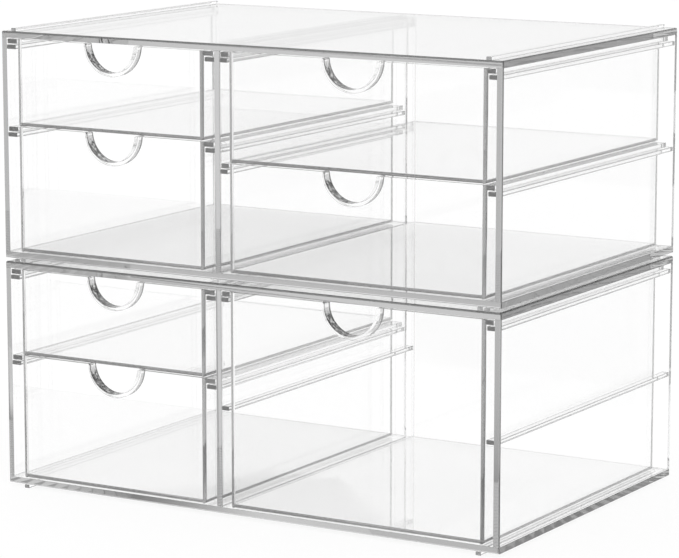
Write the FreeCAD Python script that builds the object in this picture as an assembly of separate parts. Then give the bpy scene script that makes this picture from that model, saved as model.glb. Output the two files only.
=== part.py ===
import FreeCAD, Part
import os

os.makedirs("parts", exist_ok=True)

# Clear acrylic make-up organizer: two equal open-fronted cases, one standing on the other, with
# hanging drawers. Origin: centre of the footprint at the feet. +X right, +Y to the back, +Z up.
# Every size is in millimetres.

# ---- Driving sizes: the case ----
CASE_WIDTH = 259.5
CASE_DEPTH = 171.0
CASE_HEIGHT = 105.0
SHEET = 3.0                      # thickness of every flat panel
DIVIDER_FROM_LEFT = 115.9        # case's left outer face to the divider's left face
DIVIDER_SETBACK = 5.0            # the divider and its rails stop this far before the case's back
EDGE_ROUND = 0.4                 # polished outer edges of the panels

# ---- Driving sizes: stacking ribs on top and skids underneath ----
RIB_WIDTH = 2.6
RIB_HEIGHT = 1.5
RIB_INSET = 5.6                  # case's outer side face to the rib's outer face
RIB_SETBACK = 1.5                # ribs stop this far before the case's back
SKID_WIDTH = 2.6

# ---- Driving sizes: rails ----
RAIL_THICKNESS = 2.0
LEFT_RAIL_WIDTH = 5.0
RIGHT_RAIL_WIDTH = 3.7

# ---- Driving sizes: drawers ----
DRAWER_SETBACK = 6.0             # drawers stop this far before the case's back
DRAWER_WALL = 1.7
DRAWER_FRONT = 2.0
DRAWER_FLOOR = 1.5
DRAWER_OUTER_ROUND = 1.2
DRAWER_INNER_ROUND = 0.8
FLANGE_THICKNESS = 2.3
FLANGE_SETBACK = 0.6             # flanges stop this far before the drawer's back
LEFT_SMALL_DRAWER_HEIGHT = 39.9
NOTCH_RADIUS = 13.1
NOTCH_RISE = 0.2                 # centre of the finger notch above the drawer's rim
TALL_NOTCH_RISE = -1.0           # the same on the tall drawer, where the centre is below the rim
NOTCH_CORNER_ROUND = 1.0         # where the notch runs out into the rim
LEFT_NOTCH_OFFSET = 0.5          # notch centre from the middle of the drawer
RIGHT_NOTCH_OFFSET = -2.5
COLLAR_WALL = 1.65
COLLAR_DEPTH = 5.3               # from the drawer's front face to the collar's inner end

# ---- Clearances ----
DRAWER_GAP = 0.45                # panel to drawer, and drawer to the drawer under it
RIDE_GAP = 0.4                   # flange underside to rail top
RAIL_SIDE_GAP = 0.8              # rail edge to drawer wall
FLANGE_SIDE_GAP = 0.5            # flange edge to case wall
NEST_GAP = 0.7                   # sideways play between a rib and the skid beside it
RIB_TOP_GAP = 0.2                # rib top to the case above, so only the skids carry it
CUT_MARGIN = 2.0                 # how far a cutting tool runs past the face it opens
TOLERANCE = 1e-6

# ---- Derived places ----
LEFT = -CASE_WIDTH / 2
RIGHT = CASE_WIDTH / 2
FRONT = -CASE_DEPTH / 2
BACK = CASE_DEPTH / 2
INNER_HEIGHT = CASE_HEIGHT - 2 * SHEET
SKID_HEIGHT = RIB_HEIGHT + RIB_TOP_GAP
SKID_INSET = RIB_INSET + RIB_WIDTH + NEST_GAP
CASE_PITCH = CASE_HEIGHT + SKID_HEIGHT
LOWER_BASE = SKID_HEIGHT
UPPER_BASE = LOWER_BASE + CASE_PITCH
DIVIDER_LEFT = LEFT + DIVIDER_FROM_LEFT
DIVIDER_RIGHT = DIVIDER_LEFT + SHEET
DIVIDER_BACK = BACK - DIVIDER_SETBACK
DRAWER_BACK = BACK - DRAWER_SETBACK
STACKED_HEIGHTS = INNER_HEIGHT - 3 * DRAWER_GAP
RIGHT_HALF_DRAWER_HEIGHT = STACKED_HEIGHTS / 2
LEFT_DEEP_DRAWER_HEIGHT = STACKED_HEIGHTS - LEFT_SMALL_DRAWER_HEIGHT
TALL_DRAWER_HEIGHT = INNER_HEIGHT - 2 * DRAWER_GAP

X_AXIS = FreeCAD.Vector(1, 0, 0)
Y_AXIS = FreeCAD.Vector(0, 1, 0)
Z_AXIS = FreeCAD.Vector(0, 0, 1)


class Bay:
    """One column of the case, with the sizes its rails and drawers share."""

    def __init__(self, name, left, right, rail_width, first_drawer_height, notch_offset):
        self.name = name
        self.left = left
        self.right = right
        self.rail_width = rail_width
        self.side_gap = rail_width + RAIL_SIDE_GAP
        self.flange_width = self.side_gap - FLANGE_SIDE_GAP
        self.drawer_left = left + self.side_gap
        self.drawer_right = right - self.side_gap
        self.notch_x = (self.drawer_left + self.drawer_right) / 2 + notch_offset
        # Depth of each drawer's rim below the case's top face
        self.first_rim = SHEET + DRAWER_GAP
        self.second_rim = self.first_rim + first_drawer_height + DRAWER_GAP


LEFT_BAY = Bay(
    "left_bay", LEFT + SHEET, DIVIDER_LEFT, LEFT_RAIL_WIDTH, LEFT_SMALL_DRAWER_HEIGHT, LEFT_NOTCH_OFFSET
)
RIGHT_BAY = Bay(
    "right_bay", DIVIDER_RIGHT, RIGHT - SHEET, RIGHT_RAIL_WIDTH, RIGHT_HALF_DRAWER_HEIGHT, RIGHT_NOTCH_OFFSET
)

NODES = {}


def block(x_range, y_range, z_range):
    """Box between two corners, given as (low, high) pairs."""
    size = [high - low for low, high in (x_range, y_range, z_range)]
    corner = FreeCAD.Vector(x_range[0], y_range[0], z_range[0])
    return Part.makeBox(size[0], size[1], size[2], corner)


def runs_along(edge, axis):
    """True when a straight edge is parallel to the axis."""
    run = edge.Vertexes[-1].Point.sub(edge.Vertexes[0].Point)
    return abs(abs(run.dot(axis)) - run.Length) < TOLERANCE


def at_height(edge, height):
    """True when the whole edge lies at one height."""
    return all(abs(vertex.Z - height) < TOLERANCE for vertex in edge.Vertexes)


def round_edges(shape, radius, wanted):
    """Shape with a fillet on each edge that the test picks."""
    return shape.makeFillet(radius, [edge for edge in shape.Edges if wanted(edge)])


def keep(node, shape):
    """Check one solid and write it as its own node."""
    solid = shape.removeSplitter()
    if len(solid.Solids) != 1 or not solid.isValid():
        raise ValueError(node + " is not one valid solid")
    NODES[node] = solid.Solids[0]
    NODES[node].exportStep("parts/" + node + ".step")


def flat_panel(base, outer_z):
    """Full-size top or bottom panel; outer_z is the face that shows, which is rounded at its rim."""
    panel = block((LEFT, RIGHT), (FRONT, BACK), (base, base + SHEET))
    return round_edges(panel, EDGE_ROUND, lambda e: runs_along(e, Z_AXIS) or at_height(e, outer_z))


def side_panel(outer_x, inner_x, low, high):
    """Upright side between the panels, rounded on its two outer upright edges."""
    panel = block(sorted((outer_x, inner_x)), (FRONT, BACK), (low, high))

    def outer_upright(edge):
        return runs_along(edge, Z_AXIS) and abs(edge.Vertexes[0].X - outer_x) < TOLERANCE

    return round_edges(panel, EDGE_ROUND, outer_upright)


def build_rails(case, bay, top):
    """Two rows of rails in one bay, a strip on each of its walls."""
    left_back = BACK
    right_back = BACK
    if bay is LEFT_BAY:
        right_back = DIVIDER_BACK
    else:
        left_back = DIVIDER_BACK
    for row, rim in (("top", bay.first_rim), ("middle", bay.second_rim)):
        high = top - rim - FLANGE_THICKNESS - RIDE_GAP
        heights = (high - RAIL_THICKNESS, high)
        name = case + "_" + bay.name + "_" + row + "_rail_"
        keep(name + "left", block((bay.left, bay.left + bay.rail_width), (FRONT, left_back), heights))
        keep(name + "right", block((bay.right - bay.rail_width, bay.right), (FRONT, right_back), heights))


def build_ribs_and_skids(case, base, top):
    """Two ribs on the top panel and two skids under the bottom panel, nesting side by side."""
    for side, outer, inward in (("left", LEFT, 1), ("right", RIGHT, -1)):
        rib = sorted((outer + inward * RIB_INSET, outer + inward * (RIB_INSET + RIB_WIDTH)))
        skid = sorted((outer + inward * SKID_INSET, outer + inward * (SKID_INSET + SKID_WIDTH)))
        rib_block = block(rib, (FRONT, BACK - RIB_SETBACK), (top, top + RIB_HEIGHT))
        skid_block = block(skid, (FRONT, BACK), (base - SKID_HEIGHT, base))
        keep(case + "_" + side + "_stacking_rib", rib_block)
        keep(case + "_" + side + "_skid", skid_block)


def build_case(case, base):
    """One case: four panels, divider, eight rails, two ribs and two skids."""
    top = base + CASE_HEIGHT
    inner = (base + SHEET, top - SHEET)
    keep(case + "_bottom_panel", flat_panel(base, base))
    keep(case + "_top_panel", flat_panel(top - SHEET, top))
    keep(case + "_left_side", side_panel(LEFT, LEFT + SHEET, *inner))
    keep(case + "_right_side", side_panel(RIGHT, RIGHT - SHEET, *inner))
    keep(case + "_divider", block((DIVIDER_LEFT, DIVIDER_RIGHT), (FRONT, DIVIDER_BACK), inner))
    build_rails(case, LEFT_BAY, top)
    build_rails(case, RIGHT_BAY, top)
    build_ribs_and_skids(case, base, top)


def tray_body(bay, low, rim):
    """Open tray with rounded outside and inside corners."""
    outside = block((bay.drawer_left, bay.drawer_right), (FRONT, DRAWER_BACK), (low, rim))
    floor_z = low + DRAWER_FLOOR
    inside_x = (bay.drawer_left + DRAWER_WALL, bay.drawer_right - DRAWER_WALL)
    inside = block(inside_x, (FRONT + DRAWER_FRONT, DRAWER_BACK - DRAWER_WALL), (floor_z, rim + CUT_MARGIN))
    outside = round_edges(outside, DRAWER_OUTER_ROUND, lambda e: runs_along(e, Z_AXIS) or at_height(e, low))
    inside = round_edges(inside, DRAWER_INNER_ROUND, lambda e: runs_along(e, Z_AXIS) or at_height(e, floor_z))
    return outside.cut(inside)


def build_drawer(node, bay, rim, height, notch_rise=NOTCH_RISE):
    """One moulded drawer: tray, a flange along each side, and a collared finger notch."""
    low = rim - height
    flange_y = (FRONT, DRAWER_BACK - FLANGE_SETBACK)
    flange_z = (rim - FLANGE_THICKNESS, rim)
    left_flange_x = (bay.drawer_left - bay.flange_width, bay.drawer_left + DRAWER_WALL)
    right_flange_x = (bay.drawer_right - DRAWER_WALL, bay.drawer_right + bay.flange_width)
    left_flange = block(left_flange_x, flange_y, flange_z)
    right_flange = block(right_flange_x, flange_y, flange_z)
    notch_centre = FreeCAD.Vector(bay.notch_x, FRONT, rim + notch_rise)
    collar = Part.makeCylinder(NOTCH_RADIUS + COLLAR_WALL, COLLAR_DEPTH, notch_centre, Y_AXIS)
    above_rim = block((bay.left, bay.right), (FRONT - CUT_MARGIN, BACK), (rim, rim + CASE_HEIGHT))
    notch_start = notch_centre.sub(Y_AXIS * CUT_MARGIN)
    notch = Part.makeCylinder(NOTCH_RADIUS, COLLAR_DEPTH + 2 * CUT_MARGIN, notch_start, Y_AXIS)
    drawer = tray_body(bay, low, rim).fuse([left_flange, right_flange])
    drawer = drawer.fuse(collar.cut(above_rim)).cut(notch).removeSplitter()

    def notch_corner(edge):
        inside = abs(edge.Vertexes[0].X - bay.notch_x) < NOTCH_RADIUS + TOLERANCE
        return runs_along(edge, Y_AXIS) and at_height(edge, rim) and inside

    keep(node, round_edges(drawer, NOTCH_CORNER_ROUND, notch_corner))


def build_drawers():
    """Four drawers in the upper case and three in the lower one."""
    for case, base in (("upper", UPPER_BASE), ("lower", LOWER_BASE)):
        top = base + CASE_HEIGHT
        first = top - LEFT_BAY.first_rim
        second = top - LEFT_BAY.second_rim
        build_drawer(case + "_left_small_drawer", LEFT_BAY, first, LEFT_SMALL_DRAWER_HEIGHT)
        build_drawer(case + "_left_deep_drawer", LEFT_BAY, second, LEFT_DEEP_DRAWER_HEIGHT)
    upper_top = UPPER_BASE + CASE_HEIGHT
    lower_top = LOWER_BASE + CASE_HEIGHT
    first = upper_top - RIGHT_BAY.first_rim
    second = upper_top - RIGHT_BAY.second_rim
    build_drawer("upper_right_top_drawer", RIGHT_BAY, first, RIGHT_HALF_DRAWER_HEIGHT)
    build_drawer("upper_right_bottom_drawer", RIGHT_BAY, second, RIGHT_HALF_DRAWER_HEIGHT)
    rim = lower_top - RIGHT_BAY.first_rim
    build_drawer("lower_right_tall_drawer", RIGHT_BAY, rim, TALL_DRAWER_HEIGHT, TALL_NOTCH_RISE)


build_case("lower_case", LOWER_BASE)
build_case("upper_case", UPPER_BASE)
build_drawers()
print(len(NODES), "nodes written")
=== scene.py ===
"""Clear acrylic make-up organizer: two stacked cases of sheet, hung with moulded drawers."""

import logging
import math
from dataclasses import dataclass, field
from enum import Enum, IntEnum
from typing import Callable, Iterable, Sequence

import bmesh
import bpy
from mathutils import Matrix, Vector


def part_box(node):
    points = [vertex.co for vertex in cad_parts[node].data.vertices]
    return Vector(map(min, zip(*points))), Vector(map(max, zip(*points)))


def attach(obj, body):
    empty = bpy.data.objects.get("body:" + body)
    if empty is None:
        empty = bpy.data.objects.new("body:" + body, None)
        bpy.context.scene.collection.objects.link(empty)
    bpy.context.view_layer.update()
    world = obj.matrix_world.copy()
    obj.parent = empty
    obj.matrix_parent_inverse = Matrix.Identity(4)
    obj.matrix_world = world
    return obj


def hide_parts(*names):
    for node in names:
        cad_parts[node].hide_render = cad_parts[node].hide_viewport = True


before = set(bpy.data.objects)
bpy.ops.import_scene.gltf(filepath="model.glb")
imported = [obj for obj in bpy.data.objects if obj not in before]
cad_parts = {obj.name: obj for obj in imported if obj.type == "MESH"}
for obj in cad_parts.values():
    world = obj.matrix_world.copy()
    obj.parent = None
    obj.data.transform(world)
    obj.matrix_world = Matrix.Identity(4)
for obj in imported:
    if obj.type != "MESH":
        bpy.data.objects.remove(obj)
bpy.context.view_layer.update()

LOG = logging.getLogger("organizer")

# Sizes are in metres, written as millimetres times MM.
MM = 0.001
FULL_TURN = 360.0

Triple = tuple[float, float, float]
Span = tuple[float, float]
Socket = bpy.types.NodeSocket
EdgeTest = Callable[[bmesh.types.BMEdge], bool]


class Axis(IntEnum):
    """Axes of the frame: X to the right, Y to the back and Z up."""

    X = 0
    Y = 1
    Z = 2


class Carve(Enum):
    """How one solid is combined with another."""

    JOIN = "UNION"
    CUT = "DIFFERENCE"


class Slot(Enum):
    """Material slots of the part's record."""

    SHEET = "case_acrylic"
    MOULDING = "drawer_plastic"


class SheetFace(IntEnum):
    """Kinds of face on a case's sheets and strips, in the order of their finishes."""

    FLAT = 0
    LONG_EDGE = 1
    CUT_END = 2


class DrawerFace(IntEnum):
    """Kinds of face on a drawer, in the order of their finishes."""

    WALL = 0
    NOTCH = 1
    FLANGE_EDGE = 2
    LOWER_CORNER = 3


# ---------------------------------------------------------------------------
# Shader nodes
# ---------------------------------------------------------------------------


def grey(level: float) -> tuple[float, float, float, float]:
    """Make an opaque grey colour."""
    return (level, level, level, 1.0)


@dataclass(frozen=True)
class Wiring:
    """Adds shader nodes to one node tree and joins them up."""

    tree: bpy.types.NodeTree

    def feed(self, entry: Socket, value: float | Socket) -> None:
        """Give an input its value.

        Args:
            entry: The input.
            value: A number to store in it, or an output to link to it.
        """
        if isinstance(value, (int, float)):
            entry.default_value = value
        else:
            self.tree.links.new(value, entry)

    def work_out(self, operation: str, *values: float | Socket) -> Socket:
        """Add a math node.

        Args:
            operation: The node's operation, such as MULTIPLY.
            *values: The numbers and outputs that go into it, in order.

        Returns:
            The result.
        """
        node = self.tree.nodes.new("ShaderNodeMath")
        node.operation = operation
        for entry, value in zip(node.inputs, values):
            self.feed(entry, value)
        return node.outputs[0]

    def remap(self, value: Socket, source: Span, target: Span = (0.0, 1.0),
              smooth: bool = False) -> Socket:
        """Add a node that carries one range of values over to another.

        Args:
            value: The value to carry over.
            source: The range it comes in.
            target: The range it is carried over to, and held in.
            smooth: Whether it eases in and out; it runs straight otherwise.

        Returns:
            The new value.
        """
        node = self.tree.nodes.new("ShaderNodeMapRange")
        if smooth:
            node.interpolation_type = "SMOOTHSTEP"
        node.inputs["From Min"].default_value, node.inputs["From Max"].default_value = source
        node.inputs["To Min"].default_value, node.inputs["To Max"].default_value = target
        self.feed(node.inputs["Value"], value)
        return node.outputs["Result"]

    def noise(self, place: Socket, scale: float, detail: float) -> Socket:
        """Add a noise pattern.

        Args:
            place: Where the pattern is asked for.
            scale: How fine it is, per metre.
            detail: How many finer patterns lie over it.

        Returns:
            The pattern's value, from 0 to 1.
        """
        node = self.tree.nodes.new("ShaderNodeTexNoise")
        node.inputs["Scale"].default_value = scale
        node.inputs["Detail"].default_value = detail
        self.feed(node.inputs["Vector"], place)
        return node.outputs["Fac"]

    def ramp(self, value: Socket, stops: Iterable[Span], easing: str = "LINEAR") -> Socket:
        """Add a ramp of greys.

        Args:
            value: Place along the ramp, from 0 to 1.
            stops: Place and grey level of each stop, in order.
            easing: How the ramp runs from stop to stop.

        Returns:
            The grey at that place.
        """
        node = self.tree.nodes.new("ShaderNodeValToRGB")
        node.color_ramp.interpolation = easing
        elements = node.color_ramp.elements
        given = len(elements)
        for index, (position, level) in enumerate(stops):
            stop = elements[index] if index < given else elements.new(position)
            stop.position = position
            stop.color = grey(level)
        self.feed(node.inputs["Fac"], value)
        return node.outputs["Color"]

    def blend(self, share: Socket, low: float | Socket, high: float | Socket) -> Socket:
        """Add a mix of two values.

        Args:
            share: Share of the second value.
            low: The value where the share is 0.
            high: The value where the share is 1.

        Returns:
            The mixed value.
        """
        node = self.tree.nodes.new("ShaderNodeMix")
        node.data_type = "FLOAT"
        for name, value in (("Factor", share), ("A", low), ("B", high)):
            self.feed(node.inputs[name], value)
        return node.outputs["Result"]


# ---------------------------------------------------------------------------
# Finishes, the dark ones with painted shade
# ---------------------------------------------------------------------------


@dataclass(frozen=True)
class ClearPlastic:
    """A clear, polished plastic with faint handling marks and a slight waviness in its faces. A
    low tint paints shade into the light that passes through a face.

    A tint is the share of light that a face lets through, a polish is its roughness, a scale is
    per metre and the wave depth is in metres. The marked values hold where marks are strongest;
    on the dark finishes the marks are deeper painted shade.
    """

    name: str
    tint: float
    marks_and_shade_tint: float
    polish: float
    marked_polish: float
    mark_scale: float
    wave_scale: float
    wave_depth: float
    marks_and_shade_range: Span = (0.35, 0.8)
    shine_range: Span = (0.55, 0.75)
    painted_shade_faces_up: bool = False
    painted_shade_face_up_range: Span = (-0.1, 0.4)
    mark_detail: float = 5.0
    wave_detail: float = 1.0
    index: float = 1.49

    def material(self) -> bpy.types.Material:
        """Build the node material.

        Returns:
            The finished material, ready to be assigned.
        """
        made = bpy.data.materials.new(self.name)
        made.use_nodes = True
        nodes, links = made.node_tree.nodes, made.node_tree.links
        wiring = Wiring(made.node_tree)
        shader = nodes["Principled BSDF"]
        shader.inputs["Transmission Weight"].default_value = 1.0
        shader.inputs["IOR"].default_value = self.index

        place = nodes.new("ShaderNodeTexCoord")
        pattern = wiring.noise(place.outputs["Object"], self.mark_scale, self.mark_detail)
        # Painted shade: when set, the pattern only reaches faces that look up, so they alone take
        # the darker tint and the higher roughness.
        if self.painted_shade_faces_up:
            facing = nodes.new("ShaderNodeSeparateXYZ")
            links.new(place.outputs["Normal"], facing.inputs[0])
            upward = wiring.remap(facing.outputs["Z"], self.painted_shade_face_up_range)
            pattern = wiring.work_out("MULTIPLY", pattern, upward)

        shine = wiring.remap(pattern, self.shine_range, (self.polish, self.marked_polish))
        links.new(shine, shader.inputs["Roughness"])
        # Base colour: the tint, going over to the marked tint where the pattern is high; on the
        # dark finishes both are painted shade.
        tone = wiring.ramp(pattern, zip(self.marks_and_shade_range, (self.tint, self.marks_and_shade_tint)))
        links.new(tone, shader.inputs["Base Color"])

        waves = wiring.noise(place.outputs["Object"], self.wave_scale, self.wave_detail)
        bump = nodes.new("ShaderNodeBump")
        bump.inputs["Strength"].default_value = 1.0
        bump.inputs["Distance"].default_value = self.wave_depth
        links.new(waves, bump.inputs["Height"])
        links.new(bump.outputs["Normal"], shader.inputs["Normal"])
        return made


POLISHED_SHEET = ClearPlastic(
    name="polished_acrylic_sheet",
    tint=0.9995,
    marks_and_shade_tint=0.997,
    polish=0.0,
    marked_polish=0.008,
    mark_scale=60.0,
    wave_scale=14.0,
    wave_depth=0.004 * MM,
)
MOULDED_CLEAR = ClearPlastic(
    name="clear_moulded_drawer",
    tint=0.9995,
    marks_and_shade_tint=0.997,
    polish=0.0,
    marked_polish=0.01,
    mark_scale=45.0,
    wave_scale=22.0,
    wave_depth=0.012 * MM,
)
# Real satin roughness on the notch's cut face, with painted shade in its tint: grey all over, and
# near black in spots on the faces that look up, with painted broken highlights between them.
SATIN_NOTCH_PAINTED_SHADE = ClearPlastic(
    name="satin_notch_painted_shade_face",
    tint=0.8,
    marks_and_shade_tint=0.02,
    polish=0.03,
    marked_polish=0.25,
    mark_scale=650.0,
    wave_scale=300.0,
    wave_depth=0.03 * MM,
    marks_and_shade_range=(0.32, 0.5),
    painted_shade_faces_up=True,
)
# Painted shade: a dark tint that darkens the light through the rails' long edges and the top
# panel's upper front edge.
PAINTED_SHADE_EDGE = ClearPlastic(
    name="painted_shade_long_edge",
    tint=0.22,
    marks_and_shade_tint=0.16,
    polish=0.01,
    marked_polish=0.06,
    mark_scale=400.0,
    wave_scale=120.0,
    wave_depth=0.01 * MM,
)
# Painted shade: a dark tint that darkens the light through the rails' cut ends and the drawers'
# flange edges.
PAINTED_SHADE_CUT_END = ClearPlastic(
    name="painted_shade_strip_end",
    tint=0.42,
    marks_and_shade_tint=0.3,
    polish=0.01,
    marked_polish=0.06,
    mark_scale=400.0,
    wave_scale=120.0,
    wave_depth=0.01 * MM,
)
# Painted shade: a mid-grey tint that darkens the light through the drawers' rounded lower edges.
PAINTED_SHADE_CORNER = ClearPlastic(
    name="painted_shade_lower_corner",
    tint=0.52,
    marks_and_shade_tint=0.45,
    polish=0.0,
    marked_polish=0.02,
    mark_scale=90.0,
    wave_scale=30.0,
    wave_depth=0.01 * MM,
)


# ---------------------------------------------------------------------------
# Mesh tools
# ---------------------------------------------------------------------------

# Points closer than the first and lengths closer than the second count as the same.
SAME_PLACE = 0.001 * MM
SAME_LENGTH = 0.0001 * MM

# Faces that turn by less than FLAT become one, and edges that turn by more than SHARP are
# rounded. Where the finished faces still meet at more than CREASE, the shading breaks.
FLAT = math.radians(0.5)
SHARP = math.radians(40)
CREASE = math.radians(50)

# Facets across a softened edge and across a rounded one, and the bevel profile of an arc.
EDGE_FACETS = 2
ROUND_FACETS = 5
ARC_PROFILE = 0.5

# How strongly large faces draw the shading of the corners they share with small ones.
LARGE_FACE_WEIGHT = 100

# Limits on the parts of a face's normal, which tell what kind of face it is.
SQUARE_ON = 0.9
SIDEWAYS = 0.5
TILTED = 0.15
NEARLY_DOWN = 0.98


def runs_along(edge: bmesh.types.BMEdge, axis: Axis) -> bool:
    """Tell whether a straight edge is parallel to an axis."""
    run = edge.verts[1].co - edge.verts[0].co
    return abs(abs(run[axis]) - run.length) < SAME_LENGTH


def lies_at(edge: bmesh.types.BMEdge, axis: Axis, value: float) -> bool:
    """Tell whether a whole edge lies at one value of an axis."""
    return all(abs(vert.co[axis] - value) < SAME_PLACE for vert in edge.verts)


def is_cut_end(normal: Vector) -> bool:
    """Tell whether a face of a strip lies across its length."""
    return abs(normal.y) > SQUARE_ON


def is_long_edge(normal: Vector) -> bool:
    """Tell whether a face belongs to the rounding along a strip."""
    return min(abs(normal.x), abs(normal.z)) > TILTED


def round_off(shape: bmesh.types.BMesh, edges: list[bmesh.types.BMEdge], width: float,
              facets: int) -> None:
    """Round some edges of a shape.

    Args:
        shape: The shape to change.
        edges: The edges to round.
        width: How far the rounding reaches over the faces beside an edge.
        facets: Facets across it.
    """
    bmesh.ops.bevel(
        shape, geom=edges, offset=width, offset_type="OFFSET", segments=facets,
        profile=ARC_PROFILE, affect="EDGES", clamp_overlap=True,
    )


def finished(shape: bmesh.types.BMesh, name: str) -> bpy.types.Mesh:
    """Turn a shape's faces outwards and keep it as a mesh.

    Args:
        shape: The shape, which is freed.
        name: The mesh's name.

    Returns:
        The mesh.
    """
    bmesh.ops.recalc_face_normals(shape, faces=shape.faces)
    mesh = bpy.data.meshes.new(name)
    shape.to_mesh(mesh)
    shape.free()
    return mesh


def box_mesh(low: Sequence[float], high: Sequence[float], radius: float = 0.0,
             facets: int = ROUND_FACETS, wanted: EdgeTest | None = None) -> bpy.types.Mesh:
    """Make a box, with some of its edges rounded.

    Args:
        low: Lowest corner, in metres.
        high: Highest corner, in metres.
        radius: Radius of the rounded edges; 0 leaves them sharp.
        facets: Facets across each rounded edge.
        wanted: Picks the edges to round; all of them if left out.

    Returns:
        A closed mesh.
    """
    shape = bmesh.new()
    bmesh.ops.create_cube(shape, size=1.0)
    for vert in shape.verts:
        vert.co = Vector(high[axis] if vert.co[axis] > 0 else low[axis] for axis in Axis)
    if radius > 0:
        picked = [edge for edge in shape.edges if wanted is None or wanted(edge)]
        round_off(shape, picked, radius, facets)
    return finished(shape, "box")


def prism_mesh(name: str, outline: Sequence[Vector], length: float) -> bpy.types.Mesh:
    """Make a prism that runs along +Y.

    Args:
        name: The mesh's name.
        outline: Corners of its front end, in order.
        length: How far it runs.

    Returns:
        A closed mesh.
    """
    shape = bmesh.new()
    front, back = (
        [shape.verts.new(point + Vector((0.0, depth, 0.0))) for point in outline]
        for depth in (0.0, length)
    )
    for step in range(len(outline)):
        after = (step + 1) % len(outline)
        shape.faces.new((front[step], front[after], back[after], back[step]))
    shape.faces.new(front)
    shape.faces.new(back)
    return finished(shape, name)


def rod_mesh(centre: Vector, radius: float, length: float, facets: int) -> bpy.types.Mesh:
    """Make a round rod that runs along +Y.

    Args:
        centre: Middle of the rod's front end, in metres.
        radius: Radius of the rod.
        length: How far it runs.
        facets: Facets round it.

    Returns:
        A closed mesh.
    """
    turns = (math.tau * step / facets for step in range(facets))
    outline = [
        centre + Vector((radius * math.cos(turn), 0.0, radius * math.sin(turn))) for turn in turns
    ]
    return prism_mesh("rod", outline, length)


def notch_mesh(centre: Vector, radius: float, rim: float, corner: float, length: float,
               rise: float, facets: int = 64, corner_facets: int = 6) -> bpy.types.Mesh:
    """Make the tool that cuts a half-round notch, flared at its two corners and running along +Y.

    Args:
        centre: Middle of the notch's front end, in metres.
        radius: Radius of the notch.
        rim: Height of the edge that the notch is cut into.
        corner: Radius of the rounding where the notch runs out into that edge.
        length: How far the tool runs.
        rise: How far the tool stands above the edge.
        facets: Facets round the notch.
        corner_facets: Facets round each corner.

    Returns:
        A closed mesh.
    """
    above = centre.z - rim
    flare_x = math.sqrt((radius + corner) ** 2 - (corner + above) ** 2)
    turn = math.atan2(-(corner + above), flare_x)
    quarter = math.pi / 2
    flare = [(flare_x, rise), (flare_x, 0.0)]
    flare += [
        (flare_x + corner * math.cos(angle), -corner + corner * math.sin(angle))
        for angle in (
            quarter + (quarter + turn) * step / corner_facets for step in range(1, corner_facets)
        )
    ]
    bowl = [
        (radius * math.cos(angle), above + radius * math.sin(angle))
        for angle in (
            turn + (-math.pi - 2 * turn) * step / facets for step in range(facets + 1)
        )
    ]
    outline = [*flare, *bowl, *((-x, z) for x, z in reversed(flare))]
    corners = [Vector((centre.x + x, centre.y, rim + z)) for x, z in outline]
    return prism_mesh("notch", corners, length)


def combine(base: bpy.types.Mesh, tool: bpy.types.Mesh, how: Carve) -> bpy.types.Mesh:
    """Join a second solid to the first one, or cut it away.

    Args:
        base: The solid to change.
        tool: The solid joined to it or cut from it.
        how: Whether to join or to cut.

    Returns:
        The new mesh; both inputs are deleted.
    """
    objects = [bpy.data.objects.new(name, mesh) for name, mesh in (("base", base), ("tool", tool))]
    for item in objects:
        bpy.context.scene.collection.objects.link(item)
    change = objects[0].modifiers.new("carve", "BOOLEAN")
    change.operation = how.value
    change.solver = "EXACT"
    change.object = objects[1]
    graph = bpy.context.evaluated_depsgraph_get()
    made = bpy.data.meshes.new_from_object(objects[0].evaluated_get(graph))
    for item in objects:
        mesh = item.data
        bpy.data.objects.remove(item)
        bpy.data.meshes.remove(mesh)
    return made


def soften(mesh: bpy.types.Mesh, width: float) -> None:
    """Clean a mesh's flat faces and round its sharp edges a little.

    Args:
        mesh: The mesh to change.
        width: Width of the rounding.
    """
    shape = bmesh.new()
    shape.from_mesh(mesh)
    bmesh.ops.remove_doubles(shape, verts=shape.verts, dist=SAME_PLACE)
    bmesh.ops.dissolve_limit(
        shape, angle_limit=FLAT, verts=shape.verts, edges=shape.edges,
        use_dissolve_boundaries=False, delimit={"NORMAL"},
    )
    sharp = [
        edge for edge in shape.edges
        if len(edge.link_faces) == 2 and edge.calc_face_angle(0.0) > SHARP
    ]
    round_off(shape, sharp, width, EDGE_FACETS)
    bmesh.ops.recalc_face_normals(shape, faces=shape.faces)
    shape.to_mesh(mesh)
    shape.free()


def gather(meshes: Iterable[bpy.types.Mesh]) -> bpy.types.Mesh:
    """Put separate solids together in one mesh.

    Args:
        meshes: The solids, which are deleted.

    Returns:
        The mesh that holds them all.
    """
    shape = bmesh.new()
    for mesh in meshes:
        shape.from_mesh(mesh)
        bpy.data.meshes.remove(mesh)
    made = bpy.data.meshes.new("gathered")
    shape.to_mesh(made)
    shape.free()
    return made


def place_piece(name: str, mesh: bpy.types.Mesh, body: str, nodes: Iterable[str],
                finishes: Sequence[bpy.types.Material]) -> bpy.types.Object:
    """Put a finished mesh into the scene as a piece that stands for CAD nodes.

    Args:
        name: The piece's name.
        mesh: Its mesh, in the frame.
        body: The CAD body it moves with.
        nodes: The CAD nodes it stands for.
        finishes: Its materials, in the order of the mesh's material indices.

    Returns:
        The new object.
    """
    mesh.name = name
    kept = [face.material_index for face in mesh.polygons]
    mesh.materials.clear()
    for finish in finishes:
        mesh.materials.append(finish)
    mesh.polygons.foreach_set("material_index", kept)
    mesh.polygons.foreach_set("use_smooth", [True] * len(mesh.polygons))
    mesh.set_sharp_from_angle(angle=CREASE)
    piece = bpy.data.objects.new(name, mesh)
    bpy.context.scene.collection.objects.link(piece)
    shading = piece.modifiers.new("flat_faces_stay_flat", "WEIGHTED_NORMAL")
    shading.mode = "FACE_AREA"
    shading.weight = LARGE_FACE_WEIGHT
    shading.keep_sharp = True
    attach(piece, body)
    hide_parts(*nodes)
    return piece


# ---------------------------------------------------------------------------
# Case
# ---------------------------------------------------------------------------


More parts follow.
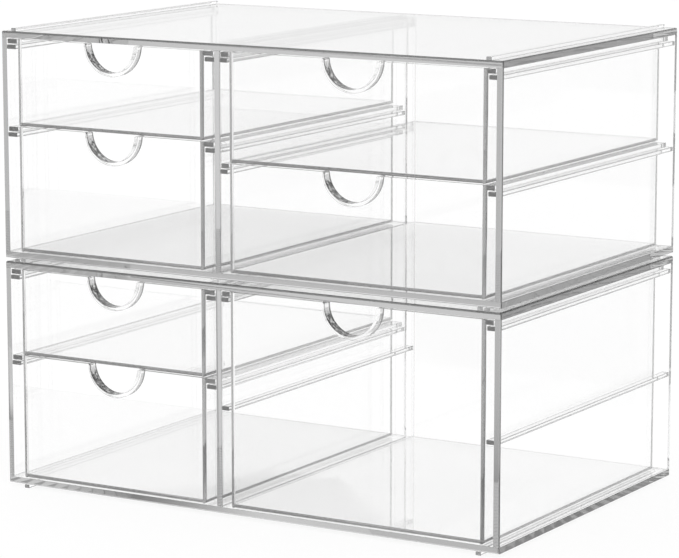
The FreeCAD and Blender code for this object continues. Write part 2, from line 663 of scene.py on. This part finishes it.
@dataclass
class Case:
    """One open-fronted case: panels, divider, rails, ribs and skids, each a sheet or strip.

    Attributes:
        body: The CAD body that the case moves with.
        finishes: Materials in the order of SheetFace.
        outer_sheets: The sheets that make the outside.
        outer_round: Rounding of those of their edges that show.
        outer_facets: Facets across it.
        edge_round: Rounding of their other edges.
        strip_round: Rounding of the edges of all other sheets and strips.
        seam: Half the hairline joint between neighbours.
        nodes: The case's CAD nodes.
    """

    body: str
    finishes: Sequence[bpy.types.Material]
    outer_sheets: tuple[str, ...] = ("top_panel", "bottom_panel", "left_side", "right_side")
    outer_round: float = 0.8 * MM
    outer_facets: int = 4
    edge_round: float = 0.12 * MM
    strip_round: float = 0.25 * MM
    seam: float = 0.015 * MM
    nodes: list[str] = field(init=False)

    def __post_init__(self) -> None:
        """Find the case's own CAD nodes."""
        self.nodes = [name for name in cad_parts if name.startswith(self.body + "_")]

    def shows(self, part: str, edge: bmesh.types.BMEdge, low: Vector, high: Vector) -> bool:
        """Tell whether an edge is one of those at the front or on top that are rounded more.

        Args:
            part: Name of the sheet, without the body's name.
            edge: The edge asked about.
            low: The sheet's lowest corner.
            high: The sheet's highest corner.

        Returns:
            True for the uprights on the outside, the top panel's upper edges and the bottom
            panel's lower front edge, and False for all others and along the back.
        """
        if lies_at(edge, Axis.Y, high.y):
            return False
        upright = runs_along(edge, Axis.Z)
        if part == "top_panel":
            return upright or lies_at(edge, Axis.Z, high.z)
        if part == "bottom_panel":
            return upright or (lies_at(edge, Axis.Y, low.y) and lies_at(edge, Axis.Z, low.z))
        return upright and lies_at(edge, Axis.X, low.x if part == "left_side" else high.x)

    def kind(self, part: str, normal: Vector) -> SheetFace:
        """Tell what kind of face a normal belongs to, for its finish.

        Args:
            part: Name of the sheet or strip, without the body's name.
            normal: The face's normal.

        Returns:
            CUT_END on the ends of rails, LONG_EDGE along rails and along the top panel's upper
            front edge, and FLAT elsewhere.
        """
        if "rail" in part and is_cut_end(normal):
            return SheetFace.CUT_END
        if "rail" in part and is_long_edge(normal):
            return SheetFace.LONG_EDGE
        if part == "top_panel" and normal.y < -TILTED and normal.z > TILTED:
            return SheetFace.LONG_EDGE
        return SheetFace.FLAT

    def sheet(self, node: str) -> bpy.types.Object:
        """Build one sheet or strip, with half a hairline joint left free all round it.

        Args:
            node: The CAD node it stands for.

        Returns:
            The piece.
        """
        part = node.removeprefix(self.body + "_")
        joint = Vector((self.seam, self.seam, self.seam))
        low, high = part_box(node)
        low, high = low + joint, high - joint
        if part in self.outer_sheets:
            mesh = box_mesh(
                low, high, self.outer_round, self.outer_facets,
                lambda edge: self.shows(part, edge, low, high),
            )
            soften(mesh, self.edge_round)
        else:
            mesh = box_mesh(low, high)
            soften(mesh, self.strip_round)
        # Long edges take the painted-shade edge finish, and the rails' cut ends take the
        # painted-shade end finish.
        for face in mesh.polygons:
            face.material_index = self.kind(part, face.normal)
        return place_piece(f"{node}_sheet", mesh, self.body, [node], self.finishes)

    def build(self) -> list[bpy.types.Object]:
        """Build every sheet and strip of the case."""
        return [self.sheet(node) for node in self.nodes]


# ---------------------------------------------------------------------------
# Drawers
# ---------------------------------------------------------------------------


@dataclass(frozen=True)
class Bay:
    """What the drawers of one bay share: their flanges' width and how far right the notch is."""

    flange_width: float
    notch_offset: float


LEFT_BAY = Bay(flange_width=5.3 * MM, notch_offset=0.5 * MM)
RIGHT_BAY = Bay(flange_width=4.0 * MM, notch_offset=-2.5 * MM)

# Height of the notch's middle above the rim, in most drawers and in the tall one.
NOTCH_RISE = 0.2 * MM
TALL_NOTCH_RISE = -1.0 * MM


@dataclass
class Drawer:
    """One drawer: a tray with rounded corners, hanging flanges and a collared finger notch.

    Attributes:
        node: The CAD node and body that the drawer stands for.
        bay: The bay it hangs in.
        finishes: Materials in the order of DrawerFace.
        wall: Thickness of the sides and the back.
        front: Thickness of the front.
        floor: Thickness of the floor.
        outer_round: Rounding of the lower edges and the upright corners.
        edge_round: Rounding of all other edges.
        seam: Half the hairline joint between neighbouring walls.
        flange_thickness: Thickness of the flanges.
        flange_setback: How far the flanges stop before the back.
        notch_rise: Height of the notch's middle above the rim.
        notch_radius: Radius of the notch.
        notch_corner: Radius of the rounding at the notch's two corners.
        collar_wall: Thickness of the collar round the notch.
        collar_depth: How far the collar reaches in from the drawer's front.
        collar_facets: Facets round a full turn of the collar.
        overrun: How far the cutting tools run past what they cut.
        low: Lowest corner of the tray between the flanges.
        high: Highest corner of the tray between the flanges.
    """

    node: str
    bay: Bay
    finishes: Sequence[bpy.types.Material]
    wall: float = 1.7 * MM
    front: float = 2.0 * MM
    floor: float = 1.5 * MM
    outer_round: float = 1.2 * MM
    edge_round: float = 0.12 * MM
    seam: float = 0.015 * MM
    flange_thickness: float = 2.1 * MM
    flange_setback: float = 0.6 * MM
    notch_rise: float = NOTCH_RISE
    notch_radius: float = 13.1 * MM
    notch_corner: float = 1.0 * MM
    collar_wall: float = 1.65 * MM
    collar_depth: float = 5.3 * MM
    collar_facets: int = 96
    overrun: float = 3.0 * MM
    low: Vector = field(init=False)
    high: Vector = field(init=False)

    def __post_init__(self) -> None:
        """Find the tray's corners, between the flanges."""
        low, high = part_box(self.node)
        self.low = Vector((low.x + self.bay.flange_width, low.y, low.z))
        self.high = Vector((high.x - self.bay.flange_width, high.y, high.z))

    @property
    def rim(self) -> float:
        """Height of the walls' upper edges."""
        return self.high.z - self.seam

    @property
    def joint(self) -> float:
        """Width of the hairline joint between neighbouring walls."""
        return 2 * self.seam

    def collar(self, centre: Vector) -> bpy.types.Mesh:
        """Make the half ring round the finger notch, cut off at the drawer's rim.

        Args:
            centre: Middle of the notch, on the drawer's front.

        Returns:
            The collar's mesh, with the notch still filled.
        """
        radius = self.notch_radius + self.collar_wall
        ring = rod_mesh(centre, radius, self.collar_depth, self.collar_facets)
        reach = 2 * self.notch_radius
        above = box_mesh(
            (centre.x - reach, centre.y - self.overrun, self.rim),
            (centre.x + reach, centre.y + self.collar_depth + self.overrun, self.rim + reach),
        )
        return combine(ring, above, Carve.CUT)

    def front_panel(self) -> bpy.types.Mesh:
        """Make the front between the side walls, with its notch and collar.

        Returns:
            The front's mesh.
        """
        low, high = self.low, self.high
        mesh = box_mesh(
            (low.x + self.wall, low.y, low.z),
            (high.x - self.wall, low.y + self.front, self.rim),
            self.outer_round,
            wanted=lambda edge: lies_at(edge, Axis.Y, low.y) and lies_at(edge, Axis.Z, low.z),
        )
        middle = (low.x + high.x) / 2
        centre = Vector((middle + self.bay.notch_offset, low.y, high.z + self.notch_rise))
        mesh = combine(mesh, self.collar(centre), Carve.JOIN)
        notch = notch_mesh(
            centre - Vector((0, self.overrun, 0)), self.notch_radius, high.z, self.notch_corner,
            self.collar_depth + 2 * self.overrun, self.notch_radius,
        )
        mesh = combine(mesh, notch, Carve.CUT)
        soften(mesh, self.edge_round)
        # Notch faces take the satin finish with painted shade, and the lower rounding takes the
        # painted-shade corner finish.
        for face in mesh.polygons:
            away = Vector((face.center.x - centre.x, face.center.z - centre.z)).length
            in_notch = away < self.notch_radius + self.edge_round
            if in_notch and abs(face.normal.y) < SIDEWAYS:
                face.material_index = DrawerFace.NOTCH
            elif self.is_lower_corner(face.normal):
                face.material_index = DrawerFace.LOWER_CORNER
        return mesh

    @staticmethod
    def is_lower_corner(normal: Vector) -> bool:
        """Tell whether a face belongs to the rounding along the tray's lower edge."""
        return -NEARLY_DOWN < normal.z < -TILTED

    def side(self, outer: float, outward: int) -> bpy.types.Mesh:
        """Make one side wall.

        Args:
            outer: Where the wall's outer face is, along X.
            outward: -1 for the left wall and 1 for the right one.

        Returns:
            The wall's mesh.
        """
        low, high = self.low, self.high
        left, right = sorted((outer, outer - outward * (self.wall - self.joint)))
        return box_mesh(
            (left, low.y, low.z), (right, high.y, self.rim), self.outer_round,
            wanted=lambda edge: lies_at(edge, Axis.X, outer)
            and (runs_along(edge, Axis.Z) or lies_at(edge, Axis.Z, low.z)),
        )

    def flange(self, outer: float, outward: int) -> bpy.types.Mesh:
        """Make the flange that hangs one side wall on its rail.

        Args:
            outer: Where the wall's outer face is, along X.
            outward: -1 for the left wall and 1 for the right one.

        Returns:
            The flange's mesh.
        """
        near, far = outer + outward * self.joint, outer + outward * self.bay.flange_width
        left, right = sorted((near, far))
        return box_mesh(
            (left, self.low.y, self.high.z - self.flange_thickness),
            (right, self.high.y - self.flange_setback, self.rim),
        )

    def back(self) -> bpy.types.Mesh:
        """Make the back between the side walls.

        Returns:
            The back's mesh.
        """
        low, high = self.low, self.high
        return box_mesh(
            (low.x + self.wall, high.y - self.wall, low.z),
            (high.x - self.wall, high.y, self.rim),
            self.outer_round,
            wanted=lambda edge: lies_at(edge, Axis.Y, high.y) and lies_at(edge, Axis.Z, low.z),
        )

    def bottom(self) -> bpy.types.Mesh:
        """Make the floor inside the four walls.

        Returns:
            The floor's mesh.
        """
        low, high = self.low, self.high
        return box_mesh(
            (low.x + self.wall, low.y + self.front + self.joint, low.z),
            (high.x - self.wall, high.y - self.wall - self.joint, low.z + self.floor),
        )

    def walls(self) -> list[bpy.types.Mesh]:
        """Make the sides, the flanges, the back and the floor.

        Returns:
            One mesh for each of them.
        """
        ends = ((self.low.x, -1), (self.high.x, 1))
        sides = [self.side(outer, outward) for outer, outward in ends]
        flanges = [self.flange(outer, outward) for outer, outward in ends]
        back, bottom = self.back(), self.bottom()
        for mesh in (*sides, *flanges, back, bottom):
            soften(mesh, self.edge_round)
        # Flange edges take the painted-shade end finish.
        for flange in flanges:
            for face in flange.polygons:
                if is_cut_end(face.normal) or is_long_edge(face.normal):
                    face.material_index = DrawerFace.FLANGE_EDGE
        # The rounding along the lower edges takes the painted-shade corner finish.
        for mesh in (*sides, back):
            for face in mesh.polygons:
                if self.is_lower_corner(face.normal):
                    face.material_index = DrawerFace.LOWER_CORNER
        return [*sides, *flanges, back, bottom]

    def build(self) -> bpy.types.Object:
        """Build the drawer and put it on its body.

        Returns:
            The piece.
        """
        mesh = gather([self.front_panel(), *self.walls()])
        return place_piece(
            f"{self.node}_moulding", mesh, self.node, [self.node], self.finishes,
        )


# ---------------------------------------------------------------------------
# Studio
# ---------------------------------------------------------------------------


@dataclass(frozen=True)
class Surroundings:
    """How bright the white studio looks, by direction and by how often light has been reflected.

    What shows straight through the sheets is white. Light that has turned a few times looks out
    into the open studio. Light that has run along a sheet and turned many times inside it comes
    from all over the room, and looks grey beside that white. A turn is one reflection, and a
    height is the Z part of the light's direction.

    Attributes:
        ring: Azimuth in degrees and grey level of piped light that comes in level.
        overhead: Level of the open studio above the horizon.
        horizon: Heights between which the open studio goes over to that level.
        steep: Share of the ring's level that is left for steep light.
        slopes: Heights between which light goes from level to steep.
        calming: Turns between which height comes to count for less.
        calmed: Share of the height that counts after them.
        turns: Turns after which light counts as piped.
        first_turn: Turns below which light has not been reflected at all.
        fade: Factor on the brightness at each turn.
        layers: Faces passed through after which the dark end behind the camera shows.
        behind_camera: Values of the direction's Y between which that dark end begins.
        far_level: Its grey level.
    """

    ring: tuple[Span, ...] = (
        (0, 0.5), (31, 0.55), (60, 0.13), (110, 0.09),
        (150, 0.26), (211, 0.26), (290, 0.13), (329, 0.43),
    )
    overhead: float = 0.94
    horizon: Span = (-0.02, 0.06)
    steep: float = 0.08
    slopes: Span = (0.1, 0.38)
    calming: Span = (11.0, 16.0)
    calmed: float = 0.5
    turns: float = 3.5
    first_turn: float = 0.5
    fade: float = 1.002
    layers: float = 3.5
    behind_camera: Span = (-0.8, -0.65)
    far_level: float = 0.05

    def level(self, tree: bpy.types.NodeTree, direction: Socket) -> Socket:
        """Add the nodes that find the brightness.

        Args:
            tree: Node tree of the world or of the table's material.
            direction: Direction, or place round the object, that the light comes from.

        Returns:
            The brightness, 1 being white.
        """
        wiring = Wiring(tree)
        unit = tree.nodes.new("ShaderNodeVectorMath")
        unit.operation = "NORMALIZE"
        wiring.feed(unit.inputs[0], direction)
        split = tree.nodes.new("ShaderNodeSeparateXYZ")
        wiring.feed(split.inputs[0], unit.outputs["Vector"])
        path = tree.nodes.new("ShaderNodeLightPath").outputs
        turned = path["Glossy Depth"]

        piped = self.piped(wiring, split.outputs, turned)
        view = self.open_view(wiring, split.outputs, path["Transmission Depth"])
        many_turns = wiring.work_out("GREATER_THAN", turned, self.turns)
        reflected = wiring.blend(many_turns, view, piped)

        straight = wiring.work_out("LESS_THAN", turned, self.first_turn)
        through = wiring.work_out("MULTIPLY", path["Is Transmission Ray"], straight)
        seen = wiring.work_out("MAXIMUM", path["Is Camera Ray"], through)
        return wiring.blend(seen, reflected, 1.0)

    def piped(self, wiring: Wiring, direction: Sequence[Socket], turned: Socket) -> Socket:
        """Add the nodes for light that has run along a sheet.

        Args:
            wiring: Wiring of the node tree.
            direction: The X, Y and Z of the light's direction.
            turned: How often the light has been reflected.

        Returns:
            The brightness.
        """
        across = wiring.work_out("MULTIPLY", direction[Axis.X], -1.0)
        heading = wiring.work_out("ARCTAN2", across, direction[Axis.Y])
        around = wiring.work_out("FRACT", wiring.work_out("MULTIPLY", heading, 1 / math.tau))
        stops = [(azimuth / FULL_TURN, level) for azimuth, level in self.ring]
        ring = wiring.ramp(around, stops, "EASE")

        height = wiring.work_out("ABSOLUTE", direction[Axis.Z])
        calm = wiring.remap(turned, self.calming, (1.0, self.calmed))
        calm_height = wiring.work_out("MULTIPLY", height, calm)
        steepness = wiring.remap(calm_height, self.slopes, (1.0, self.steep), smooth=True)
        faded = wiring.work_out("POWER", self.fade, turned)
        return wiring.work_out("MULTIPLY", wiring.work_out("MULTIPLY", ring, steepness), faded)

    def open_view(self, wiring: Wiring, direction: Sequence[Socket], passed: Socket) -> Socket:
        """Add the nodes for light that has turned a few times and looks out into the studio.

        Args:
            wiring: Wiring of the node tree.
            direction: The X, Y and Z of the light's direction.
            passed: How many faces the light has passed through.

        Returns:
            The brightness.
        """
        room = wiring.remap(direction[Axis.Y], self.behind_camera, (self.far_level, 1.0))
        many_layers = wiring.work_out("GREATER_THAN", passed, self.layers)
        rising = wiring.remap(direction[Axis.Z], self.horizon, smooth=True)
        return wiring.blend(rising, wiring.blend(many_layers, 1.0, room), self.overhead)


@dataclass(frozen=True)
class Lamp:
    """A large, soft, square lamp that points at the organizer."""

    name: str
    place: Triple
    target: Triple = (0.0, 0.0, 0.1)
    size: float = 1.6
    watts: float = 5.0

    def build(self) -> None:
        """Hang the lamp."""
        data = bpy.data.lights.new(self.name, "AREA")
        data.shape = "SQUARE"
        data.size = self.size
        data.energy = self.watts
        lamp = bpy.data.objects.new(self.name, data)
        lamp.location = self.place
        lamp.rotation_mode = "QUATERNION"
        lamp.rotation_quaternion = (Vector(self.target) - lamp.location).to_track_quat("-Z", "Y")
        bpy.context.scene.collection.objects.link(lamp)


@dataclass(frozen=True)
class Camera:
    """A long lens at the front right, a little above the top; angles are in degrees."""

    place: Triple = (0.74935, -1.25607, 0.35212)
    azimuth: float = 30.842
    elevation: float = 9.895
    lens: float = 169.14
    sensor: float = 36.0
    nearest: float = 0.05
    farthest: float = 20.0

    def build(self) -> None:
        """Stand the camera in its place and look through it."""
        data = bpy.data.cameras.new("camera")
        data.sensor_width = self.sensor
        data.lens = self.lens
        data.clip_start = self.nearest
        data.clip_end = self.farthest
        camera = bpy.data.objects.new("camera", data)
        camera.location = self.place
        azimuth, elevation = math.radians(self.azimuth), math.radians(self.elevation)
        forward = Vector((
            -math.sin(azimuth) * math.cos(elevation),
            math.cos(azimuth) * math.cos(elevation),
            -math.sin(elevation),
        ))
        camera.rotation_mode = "QUATERNION"
        camera.rotation_quaternion = forward.to_track_quat("-Z", "Y")
        bpy.context.scene.collection.objects.link(camera)
        bpy.context.scene.camera = camera


@dataclass(frozen=True)
class Studio:
    """A pale table in a white studio, lit by two large soft lamps.

    Attributes:
        surroundings: The studio's walls and ceiling, as light finds them.
        lamps: The lamps.
        camera: The camera.
        table_size: Width and depth of the table top.
        table_depth: Its thickness.
        table_gap: Gap between it and the skids.
        table_level: Grey level of its own finish.
        table_roughness: Roughness of that finish.
        shadow_share: Share of that finish which the camera sees, and which carries the shadow.
        seen_glow: Brightness of the glow that makes up the rest.
        bounces: How often light may turn, in all and of each kind but the next.
        diffuse_bounces: How often it may turn at matt faces.
    """

    surroundings: Surroundings = Surroundings()
    lamps: tuple[Lamp, ...] = (
        Lamp("lamp_left", (-1.6, -0.8, 1.9)),
        Lamp("lamp_right", (1.5, -0.2, 2.1)),
    )
    camera: Camera = Camera()
    table_size: float = 6.0
    table_depth: float = 10.0 * MM
    table_gap: float = 0.05 * MM
    table_level: float = 0.9
    table_roughness: float = 0.9
    shadow_share: float = 0.12
    seen_glow: float = 1.03
    bounces: int = 96
    diffuse_bounces: int = 3

    def world(self) -> None:
        """Make the surroundings."""
        world = bpy.data.worlds.new("studio")
        bpy.context.scene.world = world
        world.use_nodes = True
        tree = world.node_tree
        background = tree.nodes["Background"]
        background.inputs["Color"].default_value = grey(1.0)
        place = tree.nodes.new("ShaderNodeTexCoord")
        brightness = self.surroundings.level(tree, place.outputs["Generated"])
        tree.links.new(brightness, background.inputs["Strength"])

    def table_finish(self) -> bpy.types.Material:
        """Make the table's pale finish, which glows like the studio and keeps a soft shadow.

        Returns:
            The material.
        """
        finish = bpy.data.materials.new("pale_table")
        finish.use_nodes = True
        tree = finish.node_tree
        nodes, links = tree.nodes, tree.links
        matt = nodes["Principled BSDF"]
        matt.inputs["Base Color"].default_value = grey(self.table_level)
        matt.inputs["Roughness"].default_value = self.table_roughness
        matt.inputs["Specular IOR Level"].default_value = 0.0
        place = nodes.new("ShaderNodeNewGeometry")
        glow = nodes.new("ShaderNodeEmission")
        glow.inputs["Color"].default_value = grey(self.seen_glow)
        brightness = self.surroundings.level(tree, place.outputs["Position"])
        links.new(brightness, glow.inputs["Strength"])
        path = nodes.new("ShaderNodeLightPath")
        share = Wiring(tree).remap(
            path.outputs["Is Camera Ray"], (0.0, 1.0), (1.0, 1.0 - self.shadow_share)
        )
        mix = nodes.new("ShaderNodeMixShader")
        for entry, output in zip(mix.inputs, (share, matt.outputs[0], glow.outputs[0])):
            links.new(output, entry)
        links.new(mix.outputs[0], nodes["Material Output"].inputs["Surface"])
        return finish

    def table(self) -> None:
        """Lay the table top just under the skids."""
        half = self.table_size / 2
        mesh = box_mesh((-half, -half, -self.table_depth), (half, half, -self.table_gap))
        mesh.name = "table_top"
        mesh.materials.append(self.table_finish())
        table = bpy.data.objects.new("table_top", mesh)
        bpy.context.scene.collection.objects.link(table)

    def render_settings(self) -> None:
        """Set the view transform, and enough bounces for light to run along the sheets."""
        scene = bpy.context.scene
        scene.view_settings.view_transform = "Standard"
        cycles = scene.cycles
        cycles.max_bounces = self.bounces
        cycles.transmission_bounces = self.bounces
        cycles.glossy_bounces = self.bounces
        cycles.diffuse_bounces = self.diffuse_bounces

    def build(self) -> None:
        """Set up the whole studio."""
        self.world()
        self.table()
        for lamp in self.lamps:
            lamp.build()
        self.camera.build()
        self.render_settings()


def main() -> None:
    """Build the studio, both cases and every drawer."""
    logging.basicConfig(level=logging.INFO, format="%(message)s")
    Studio().build()
    # Every finish but the polished sheet and the clear moulding carries painted shade in its tint.
    cut_end_shade = PAINTED_SHADE_CUT_END.material()
    sheet_finishes = [POLISHED_SHEET.material(), PAINTED_SHADE_EDGE.material(), cut_end_shade]
    drawer_finishes = [
        MOULDED_CLEAR.material(), SATIN_NOTCH_PAINTED_SHADE.material(), cut_end_shade, PAINTED_SHADE_CORNER.material(),
    ]
    pieces: list[bpy.types.Object] = []
    for body in ("lower_case", "upper_case"):
        pieces += Case(body, sheet_finishes).build()
    for node in sorted(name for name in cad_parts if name.endswith("_drawer")):
        drawer = Drawer(
            node, LEFT_BAY if "_left_" in node else RIGHT_BAY, drawer_finishes,
            notch_rise=TALL_NOTCH_RISE if "_tall_" in node else NOTCH_RISE,
        )
        pieces.append(drawer.build())
    for piece in pieces:
        LOG.info("%s: %d faces", piece.name, len(piece.data.polygons))


if __name__ == "__main__":
    main()
